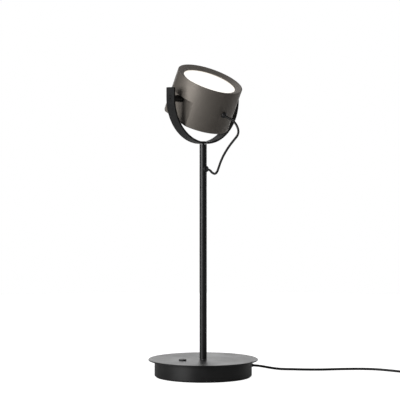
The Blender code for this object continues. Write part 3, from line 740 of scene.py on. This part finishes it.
# %% Fork strip
STRIP_THICKNESS, STRIP_WIDTH, STRIP_RADIUS = 0.003, 0.018, 0.0715
ARM_LENGTH, ARM_TOP = 0.018, 0.473
NEARLY_TOP = 0.4729
bpy.ops.object.select_all(action="DESELECT")
bpy.ops.mesh.primitive_plane_add(size=1, location=(-STRIP_RADIUS, 0, ARM_TOP))
fork = bpy.context.object
fork.name = fork.data.name = "fork_strip"
fork.scale = (STRIP_THICKNESS, STRIP_WIDTH, 1)
bpy.ops.object.transform_apply(location=True, rotation=True, scale=True)
edit(fork)
bpy.ops.mesh.select_all(action="SELECT")
bpy.ops.mesh.delete(type="ONLY_FACE")
bpy.ops.mesh.select_mode(type="EDGE")
bpy.ops.mesh.select_all(action="SELECT")
bpy.ops.mesh.extrude_edges_move(TRANSFORM_OT_translate={"value": (0, 0, -ARM_LENGTH)})
bpy.ops.mesh.spin(steps=128, angle=math.pi, center=PIVOT, axis=(0, 1, 0))
bpy.ops.mesh.extrude_edges_move(TRANSFORM_OT_translate={"value": (0, 0, ARM_LENGTH)})
bpy.ops.mesh.select_all(action="SELECT")
bpy.ops.mesh.remove_doubles(threshold=1e-6)
for side in (-1, 1):
    select_where(
        fork, lambda edge: all(v.co.z > NEARLY_TOP and v.co.x * side > 0 for v in edge.verts), "EDGE"
    )
    bpy.ops.mesh.edge_face_add()
bpy.ops.mesh.select_all(action="SELECT")
bpy.ops.mesh.normals_make_consistent(inside=False)
select_where(
    fork,
    lambda edge: all(v.co.z > NEARLY_TOP for v in edge.verts)
    and abs(edge.verts[0].co.y - edge.verts[1].co.y) < 1e-5,
    "EDGE",
)
bpy.ops.mesh.bevel(offset=0.0016, segments=6)
bpy.ops.object.mode_set(mode="OBJECT")
print("fork strip:", len(fork.data.polygons), "faces")

# %% Fork holes and soft edges
for side in (-1, 1):
    tool = lathe("hole", [(0, 75), (4.9, 75), (4.9, 73), (2.8, 71.1), (2.8, 68), (0, 68)], steps=48)
    put(tool, PIVOT, (0, side * math.pi / 2, 0))
    cut(fork, tool)
tool = rod(2.2, 392, 376)
cut(fork, tool)
soften(fork, 0.35 * MM, segments=2, angle=40)
smooth(fork)
fit(fork, "stem", "black_powder_coat", "fork")
print("fork with holes and soft edges:", len(fork.data.polygons), "faces")

# %% [markdown]
# ## Pivots
# At each arm a countersunk screw runs through a spacer into the head. The screws' tops lie flush in the
# arms, and each has a hexagonal socket.

# %% Pivot screws and spacers
for side, name in ((1, "right"), (-1, "left")):
    turn = (0, side * math.pi / 2, 0)
    pivot = lathe(
        f"pivot_{name}",
        [(0, 72.8), (4.0, 72.8), (4.2, 72.65), (2.4, 70.9), (2.4, 39.4), (2.0, 39), (0, 39)],
        steps=48,
    )
    tool = lathe("socket", [(0, 74), (1.6, 74), (1.6, 71.2), (0, 70.9)], steps=6)
    cut(pivot, tool)
    put(pivot, PIVOT, turn)
    smooth(pivot)
    fit(pivot, "stem", "black_powder_coat", f"pivot_screw_{name}")
    spacer = lathe(
        f"spacer_tube_{name}",
        [(2.8, 48.9), (5.2, 48.9), (5.4, 49.1), (5.4, 69.5), (5.2, 69.7), (2.8, 69.7)],
        steps=64,
        closed=True,
    )
    put(spacer, PIVOT, turn)
    smooth(spacer)
    fit(spacer, "stem", "black_powder_coat", f"spacer_{name}")

seat_screw = screw("seat_screw", 4.5, 1.1, 1.7, 12, socket=2.0)
put(seat_screw, (0, 0, 0.3853))
fit(seat_screw, "stem", "black_powder_coat", "fork_screw")
print("pivots")

# %% [markdown]
# ## Head
# The head is a short, wide cylinder, full round towards its lit end. Behind that, both sides are milled
# flat, so that the spacers meet a plane, and each flat ends in a small ledge. A spun shell gives the round
# form, and two cutting boxes give the flats. A fine bevel then softens every edge.

# %% Head shell
shell = lathe(
    "shell",
    [
        (45.6, -36),
        (54.5, -36),
        (54.85, -35.85),
        (55, -35.5),
        (55, 36.6),
        (54.85, 36.9),
        (54.6, 37),
        (54, 37),
        (54, 31),
        (52, 31),
        (52, 8.5),
        (45.2, 8.5),
        (45.2, -30),
        (36, -30),
        (36, -34.2),
        (45.6, -34.2),
    ],
    steps=256,
    closed=True,
)
for side in (-1, 1):
    near, far = sorted((side * 47.5, side * 60))
    cut(shell, bar("flat", (near, -60, -50), (far, 60, 6)))
for side in (-1, 1):
    tool = rod(2.9, 52, 40)
    put(tool, (0, 0, 0), (0, side * math.pi / 2, 0))
    cut(shell, tool)
tool = rod(3.9, 60, 40)
put(tool, (0, 0, -1 * MM), (math.pi / 2, 0, 0))
cut(shell, tool)
soften(shell, 0.4 * MM, segments=3, angle=24)
put(shell, PIVOT, HEAD_TURN)
smooth(shell, 22)
fit(shell, "head", "satin_bronze_anodised", "head_shell")
print("shell:", len(shell.data.polygons), "faces")

# %% [markdown]
# ## Front ring and diffuser
# Inside the rim a shallow dished ring leads to the diffuser, and a fine line of shadow runs where the ring
# meets the shell. The diffuser is a slightly domed disc of opal plastic.

# %% Front ring
ring = lathe(
    "dished_ring",
    [
        (53.65, 36.5),
        (53.65, 31.3),
        (44.1, 31.3),
        (43.8, 31.6),
        (43.8, 32.7),
        (44.1, 33.0),
        (44.6, 33.15),
        (53.3, 36.68),
        (53.55, 36.68),
    ],
    steps=256,
    closed=True,
)
put(ring, PIVOT, HEAD_TURN)
smooth(ring, 25)
fit(ring, "head", "satin_bronze_anodised", "front_ring")

diffuser = lathe(
    "diffuser_disc",
    [(0, 31.0), (20, 31.0), (51.2, 31.0), (51.6, 30.7), (51.6, 28.3), (51.2, 28.0), (0, 28.0)],
    steps=192,
)
put(diffuser, PIVOT, HEAD_TURN)
smooth(diffuser)
fit(diffuser, "head", "opal_diffuser", "diffuser")
print("ring and diffuser")

# %% [markdown]
# ## Rear cover
# The rear cover is a thin plate with slots that let warm air out. The slots have round ends, so each is
# cut with a box that was bevelled until its ends are half circles.

# %% Rear cover
rear = lathe(
    "vent_cover",
    [(0, -34.5), (45.1, -34.5), (45.2, -34.7), (45.2, -35.7), (44.9, -36), (0, -36)],
    steps=128,
)
for number, length in enumerate((34, 46, 52, 46, 34)):
    across = (number - 2) * 9
    tool = bar("slot", (-length / 2, across - 1.3, -40), (length / 2, across + 1.3, -30))
    edit(tool)
    select_where(tool, lambda edge: abs(edge.verts[0].co.z - edge.verts[1].co.z) > 0.005, "EDGE")
    bpy.ops.mesh.bevel(offset=1.29 * MM, segments=6)
    bpy.ops.object.mode_set(mode="OBJECT")
    cut(rear, tool)
REAR_SPOTS = [
    Matrix.Rotation(math.radians(angle), 4, "Z") @ Vector((0.0405, 0, 0)) for angle in (30, 150, 270)
]
for spot in REAR_SPOTS:
    tool = rod(1.7, -30, -40, steps=24)
    put(tool, spot)
    cut(rear, tool)
soften(rear, 0.2 * MM, segments=2, angle=40)
put(rear, PIVOT, HEAD_TURN)
smooth(rear)
fit(rear, "head", "black_powder_coat", "rear_cover")

head_matrix = Matrix.Translation(PIVOT) @ Matrix.Rotation(HEAD_TURN[0], 4, "X")
rear_master = screw("rear_master", 2.6, 1.4, 1.3, 6, socket=1.25)
for number, spot in enumerate(REAR_SPOTS, 1):
    one = copy_of(rear_master, f"vent_screw_{number}")
    seat = Matrix.Translation(spot + Vector((0, 0, -0.0363)))
    place = head_matrix @ seat @ Matrix.Rotation(math.pi, 4, "X")
    put(one, place.to_translation(), place.to_euler())
    fit(one, "head", "zinc_plated_steel", f"rear_screw_{number}")
bpy.data.objects.remove(rear_master, do_unlink=True)
print("rear cover with its slots and screws")

# %% [markdown]
# ## Gland
# Where the lead goes into the head, a small cable gland has a flange against the shell and a soft nose
# round the lead.

# %% Gland
gland = lathe(
    "lead_gland",
    [
        (0, 59.0),
        (2.0, 59.0),
        (2.7, 58.8),
        (3.1, 58.3),
        (3.3, 57.9),
        (4.3, 57.6),
        (4.8, 57.2),
        (5.0, 56.6),
        (5.0, 55.3),
        (3.6, 55.3),
        (3.6, 51.2),
        (4.4, 51.2),
        (3.8, 49.8),
        (0, 49.8),
    ],
    steps=48,
)
gland_matrix = head_matrix @ Matrix.Translation((0, 0, -0.001)) @ Matrix.Rotation(math.pi / 2, 4, "X")
put(gland, gland_matrix.to_translation(), gland_matrix.to_euler())
smooth(gland, 40)
fit(gland, "head", "black_plastic", "head_gland")
print("gland")

# %% [markdown]
# # Finishes
# Each finish is a Principled shader with the small differences a real surface has. Powder coat has a fine
# pebbled texture, so it gets bump from two sizes of noise and a roughness that drifts a little. All the
# patterns use Object coordinates, in metres, so their size is real and they stay on the piece.

# %% Node helpers
def new_finish(name):
    material = bpy.data.materials.new(name)
    material.use_nodes = True
    tree = material.node_tree
    return material, tree, tree.nodes["Principled BSDF"]


def noise(tree, scale, detail=2.0, stretch=(1, 1, 1)):
    coords = tree.nodes.new("ShaderNodeTexCoord")
    mapping = tree.nodes.new("ShaderNodeMapping")
    mapping.inputs["Scale"].default_value = stretch
    texture = tree.nodes.new("ShaderNodeTexNoise")
    texture.inputs["Scale"].default_value = scale
    texture.inputs["Detail"].default_value = detail
    texture.inputs["Roughness"].default_value = 0.5
    tree.links.new(coords.outputs["Object"], mapping.inputs["Vector"])
    tree.links.new(mapping.outputs["Vector"], texture.inputs["Vector"])
    return texture.outputs["Fac"]


def between(tree, value, low, high):
    ramp = tree.nodes.new("ShaderNodeMapRange")
    ramp.inputs["From Min"].default_value = 0.3
    ramp.inputs["From Max"].default_value = 0.7
    ramp.inputs["To Min"].default_value = low
    ramp.inputs["To Max"].default_value = high
    tree.links.new(value, ramp.inputs["Value"])
    return ramp.outputs["Result"]


def tint(tree, value, dark, light):
    ramp = tree.nodes.new("ShaderNodeValToRGB")
    ramp.color_ramp.elements[0].position = 0.35
    ramp.color_ramp.elements[0].color = (*dark, 1)
    ramp.color_ramp.elements[1].position = 0.65
    ramp.color_ramp.elements[1].color = (*light, 1)
    tree.links.new(value, ramp.inputs["Fac"])
    return ramp.outputs["Color"]


def bump(tree, shader, height, strength, distance):
    node = tree.nodes.new("ShaderNodeBump")
    node.inputs["Strength"].default_value = strength
    node.inputs["Distance"].default_value = distance
    tree.links.new(height, node.inputs["Height"])
    tree.links.new(node.outputs["Normal"], shader.inputs["Normal"])


def colour(tree, shader, value, dark, light):
    tree.links.new(tint(tree, value, dark, light), shader.inputs["Base Color"])


def rough(tree, shader, value, low, high):
    tree.links.new(between(tree, value, low, high), shader.inputs["Roughness"])


print("node helpers ready")

# %% Black powder coat
powder, tree, shader = new_finish("satin black powder coat")
colour(tree, shader, noise(tree, 60), (0.0050, 0.0050, 0.0053), (0.0080, 0.0080, 0.0083))
rough(tree, shader, noise(tree, 25, 3), 0.34, 0.42)
shader.inputs["Specular IOR Level"].default_value = 0.5
bump(tree, shader, noise(tree, 1500, 3), 0.10, 0.0003)
print("powder coat")

# %% [markdown]
# The head's grey-brown is a metallic finish over a fine blasted surface. It is mostly metal, so its
# brightness comes from what it reflects, softened by the blasting. A slow change of tone round the shell
# and a very fine grain keep it from looking like plastic.

# %% Grey-brown metallic finish
bronze, tree, shader = new_finish("satin grey brown metal")
colour(tree, shader, noise(tree, 18, 3), (0.196, 0.175, 0.153), (0.222, 0.200, 0.176))
shader.inputs["Metallic"].default_value = 0.62
rough(tree, shader, noise(tree, 900, 2), 0.46, 0.54)
bump(tree, shader, noise(tree, 3500, 2), 0.06, 0.0002)
print("head finish")

# %% Opal diffuser
opal, tree, shader = new_finish("glowing opal")
colour(tree, shader, noise(tree, 40), (0.93, 0.92, 0.88), (0.96, 0.95, 0.92))
rough(tree, shader, noise(tree, 300), 0.42, 0.5)
shader.inputs["Emission Color"].default_value = (1.0, 0.965, 0.91, 1)
shader.inputs["Emission Strength"].default_value = 0.88
bump(tree, shader, noise(tree, 1200), 0.05, 0.0002)
print("opal")

# %% [markdown]
# Rubber and plastic differ mostly in their grain. The leads' sheath is a smooth, slightly waxy black, and
# the button, bush and plug have the fine spark-eroded grain of a moulding tool.

# %% Sheath, plastics and pads
def moulded(name, dark, light, rough_low, rough_high, grain, depth):
    material, tree, shader = new_finish(name)
    colour(tree, shader, noise(tree, 80), dark, light)
    rough(tree, shader, noise(tree, 200, 3), rough_low, rough_high)
    bump(tree, shader, noise(tree, grain, 2), depth, 0.0003)
    return material


sheath = moulded("lead sheath", (0.003, 0.003, 0.003), (0.006, 0.006, 0.006), 0.42, 0.55, 700, 0.12)
black_plastic = moulded(
    "grained black plastic", (0.012, 0.012, 0.013), (0.018, 0.018, 0.019), 0.38, 0.52, 2600, 0.25
)
grey_plastic = moulded("grey plastic", (0.30, 0.30, 0.31), (0.36, 0.36, 0.37), 0.45, 0.6, 2000, 0.2)
white_plastic = moulded("white plastic", (0.80, 0.80, 0.78), (0.88, 0.88, 0.86), 0.4, 0.55, 1800, 0.12)
pad_rubber = moulded("pad rubber", (0.02, 0.02, 0.02), (0.035, 0.035, 0.034), 0.75, 0.95, 1500, 0.5)
board_green = moulded("green board", (0.02, 0.12, 0.05), (0.03, 0.18, 0.07), 0.35, 0.5, 900, 0.1)
print("sheath, plastics and pads")


# %% Metals
def metal(name, dark, light, rough_low, rough_high, grain, depth, stretch=(1, 1, 1)):
    material, tree, shader = new_finish(name)
    colour(tree, shader, noise(tree, 120, 3), dark, light)
    shader.inputs["Metallic"].default_value = 1.0
    rough(tree, shader, noise(tree, grain / 2, 3, stretch), rough_low, rough_high)
    bump(tree, shader, noise(tree, grain, 2, stretch), depth, 0.0002)
    return material


zinc = metal("zinc plate", (0.50, 0.51, 0.53), (0.66, 0.66, 0.66), 0.25, 0.4, 900, 0.12)
aluminium = metal(
    "milled aluminium", (0.66, 0.66, 0.67), (0.78, 0.78, 0.79), 0.28, 0.45, 1500, 0.2, (1, 12, 12)
)
iron = metal("cast iron", (0.05, 0.05, 0.05), (0.12, 0.115, 0.11), 0.6, 0.85, 500, 0.8)
nickel = metal("nickel pin", (0.60, 0.58, 0.53), (0.72, 0.70, 0.65), 0.15, 0.28, 1200, 0.06)

FINISH = {
    "black_powder_coat": powder,
    "satin_bronze_anodised": bronze,
    "opal_diffuser": opal,
    "white_reflector_plastic": white_plastic,
    "black_plastic": black_plastic,
    "grey_plastic": grey_plastic,
    "black_lead_rubber": sheath,
    "bare_aluminium": aluminium,
    "zinc_plated_steel": zinc,
    "cast_iron": iron,
    "plated_pin": nickel,
    "circuit_board": board_green,
    "foot_pad": pad_rubber,
}
slots = {part["node"]: part["material_slot"] for part in frame["record"]["subparts"]}
for node, obj in frame["nodes"].items():
    for place in obj.material_slots:
        place.material = FINISH[slots[node]]
made = 0
for obj in list(bpy.data.objects):
    if "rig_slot" in obj:
        obj.data.materials.clear()
        obj.data.materials.append(FINISH[obj["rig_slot"]])
        made += 1
print("finishes on", made, "new pieces and", len(frame["nodes"]), "parts of the solid model")

# %% [markdown]
# # Stage and light
# The lamp stands on a pale table in a plain studio. A large soft light in front on the left and a smaller
# one beside it model the round surfaces. A narrow one behind on the right draws the right-hand edges, a
# wide low one lights from behind, and one above reaches the head and the plate. None of them shows to the
# camera. The floor and the surroundings look white to the camera only, and are dimmer to everything else.

# %% Floor
FLOOR_GREY = 0.60
FLOOR_GLOW = 0.95
bpy.ops.object.select_all(action="DESELECT")
bpy.ops.mesh.primitive_circle_add(vertices=128, radius=1.6, fill_type="NGON", location=(0, 0, 0))
floor = bpy.context.object
floor.name = "floor"
pale = bpy.data.materials.new("pale floor")
pale.use_nodes = True
tree = pale.node_tree
surface = tree.nodes["Principled BSDF"]
surface.inputs["Base Color"].default_value = (FLOOR_GREY, FLOOR_GREY, FLOOR_GREY, 1)
surface.inputs["Roughness"].default_value = 0.9
surface.inputs["Specular IOR Level"].default_value = 0.0
shine = tree.nodes.new("ShaderNodeEmission")
shine.inputs["Color"].default_value = (1, 1, 1, 1)
shine.inputs["Strength"].default_value = FLOOR_GLOW
both = tree.nodes.new("ShaderNodeAddShader")
choice = tree.nodes.new("ShaderNodeMixShader")
ray = tree.nodes.new("ShaderNodeLightPath")
tree.links.new(surface.outputs["BSDF"], both.inputs[0])
tree.links.new(shine.outputs["Emission"], both.inputs[1])
tree.links.new(ray.outputs["Is Camera Ray"], choice.inputs["Fac"])
tree.links.new(surface.outputs["BSDF"], choice.inputs[1])
tree.links.new(both.outputs["Shader"], choice.inputs[2])
tree.links.new(choice.outputs["Shader"], tree.nodes["Material Output"].inputs["Surface"])
floor.data.materials.append(pale)
print("floor", [round(x, 2) for x in floor.dimensions])


# %% Lights
LIGHT_AIM = Vector((0, 0, 0.3))
SURROUNDINGS = 0.13


def softbox(name, across, away, up, width, height, power):
    lamp = bpy.data.lights.new(name, "AREA")
    lamp.shape = "RECTANGLE"
    lamp.size = width
    lamp.size_y = height
    lamp.energy = power
    obj = bpy.data.objects.new(name, lamp)
    scene.collection.objects.link(obj)
    obj.location = RIGHT * across + AWAY * away + Vector((0, 0, up))
    obj.rotation_euler = (LIGHT_AIM - obj.location).to_track_quat("-Z", "Y").to_euler()
    obj.visible_camera = False


softbox("key_left", -1.50, -1.50, 0.70, 0.8, 1.2, 26)
softbox("side_left", -1.85, -0.75, 0.60, 0.5, 1.0, 8)
softbox("rim_right", 1.60, 1.30, 0.50, 0.4, 0.9, 5)
softbox("back_low", 0.0, 2.1, 0.55, 2.0, 0.7, 7.5)
softbox("top", 0.2, 1.1, 1.8, 1.4, 1.0, 5)

world = bpy.data.worlds.new("studio")
scene.world = world
world.use_nodes = True
tree = world.node_tree
background = tree.nodes["Background"]
background.inputs["Color"].default_value = (1, 1, 1, 1)
background.inputs["Strength"].default_value = SURROUNDINGS
seen = tree.nodes.new("ShaderNodeBackground")
seen.inputs["Color"].default_value = (1, 1, 1, 1)
seen.inputs["Strength"].default_value = 1.0
path = tree.nodes.new("ShaderNodeLightPath")
mix = tree.nodes.new("ShaderNodeMixShader")
tree.links.new(path.outputs["Is Camera Ray"], mix.inputs["Fac"])
tree.links.new(background.outputs["Background"], mix.inputs[1])
tree.links.new(seen.outputs["Background"], mix.inputs[2])
tree.links.new(mix.outputs["Shader"], tree.nodes["World Output"].inputs["Surface"])
scene.view_settings.view_transform = "Standard"
print("five soft lights and a pale studio")

# %% The json module
import json
